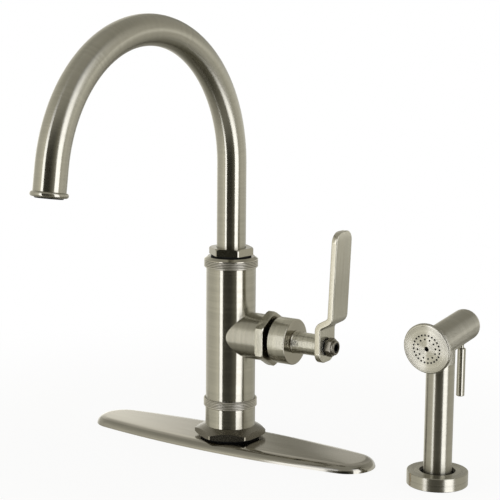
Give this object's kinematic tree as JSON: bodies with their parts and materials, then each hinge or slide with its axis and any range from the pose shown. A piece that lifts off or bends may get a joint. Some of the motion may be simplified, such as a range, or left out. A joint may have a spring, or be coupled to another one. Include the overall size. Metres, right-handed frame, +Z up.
{
  "type": "side spray kitchen faucet",
  "caption": "Kitchen faucet with a high-arc swivel spout, a side lever on the column, a long oval deck plate and a separate spray wand in a deck holder.",
  "frame": {"origin": "on the column axis, at the deck surface that the plate rests on", "axes": "+Z up along the column, +X along the deck plate towards the lever and the spray wand, -Y towards the user, the side the spout reaches"},
  "size_m": [0.3463, 0.2761, 0.415],
  "materials": {
    "plate_nickel": "brushed nickel, satin to glossy",
    "nickel": "brushed nickel",
    "turned_nickel": "brushed nickel, turned matte band",
    "black_rubber": "matte black",
    "foam": "closed cell foam",
    "brass": "machined",
    "black_plastic": "matte",
    "white_plastic": "matte",
    "steel": "plain steel"
  },
  "bodies": {
    "faucet": {"deck_plate": "plate_nickel", "deck_gasket": "foam", "base_seal": "black_rubber", "base_hex": "nickel", "lower_body": "nickel", "lower_ring": "turned_nickel", "body_column": "nickel", "upper_collar": "turned_nickel", "nut_seal": "black_rubber", "spout_nut": "nickel", "spout_bearing": "white_plastic", "bonnet_nut": "nickel", "cartridge_housing": "white_plastic", "cartridge_disc": "white_plastic", "shank": "brass", "inlet_block": "brass", "deck_washer": "black_rubber", "clamp_washer": "steel", "mounting_nut": "brass", "holder_ring": "nickel", "holder_body": "black_plastic", "holder_washer": "black_rubber", "holder_nut": "black_plastic"},
    "spout": {"spout_tube": "nickel", "spout_foot": "brass", "spout_orings": "black_rubber", "spout_bead": "nickel", "aerator_housing": "nickel", "aerator_screen": "white_plastic"},
    "mixer": {"valve_carrier": "white_plastic", "pivot_pin": "steel"},
    "handle": {"handle_neck": "black_plastic", "handle_cap": "nickel", "stem_ring": "nickel", "lever_stem": "nickel", "lever": "nickel", "lever_washer": "black_rubber", "lever_nut": "nickel", "lever_screw": "steel"},
    "wand": {"wand_handle": "nickel", "wand_foot": "black_plastic", "wand_head": "nickel", "spray_face": "nickel", "trigger_pin": "steel"},
    "trigger": {"trigger": "nickel"}
  },
  "joints": [
    {"name": "spout_swivel", "type": "hinge", "parent": "faucet", "child": "spout", "pos_m": [0, 0, 0.15], "axis": [0, 0, 1], "continuous": true},
    {"name": "temperature_turn", "type": "hinge", "parent": "faucet", "child": "mixer", "pos_m": [0.034, 0, 0.0937], "axis": [1, 0, 0], "range_deg": [-45, 45]},
    {"name": "flow_tilt", "type": "hinge", "parent": "mixer", "child": "handle", "pos_m": [0.034, 0, 0.0937], "axis": [0, 1, 0], "range_deg": [0, 9]},
    {"name": "wand_lift", "type": "slide", "parent": "faucet", "child": "wand", "axis": [0, 0, 1], "range_m": [0, 0.12]},
    {"name": "trigger_squeeze", "type": "hinge", "parent": "wand", "child": "trigger", "pos_m": [0.19069, 0.03417, 0.11665], "axis": [-0.999, 0.0436, 0], "range_deg": [0, 18], "stiffness_Nm_per_rad": 0.8}
  ]
}
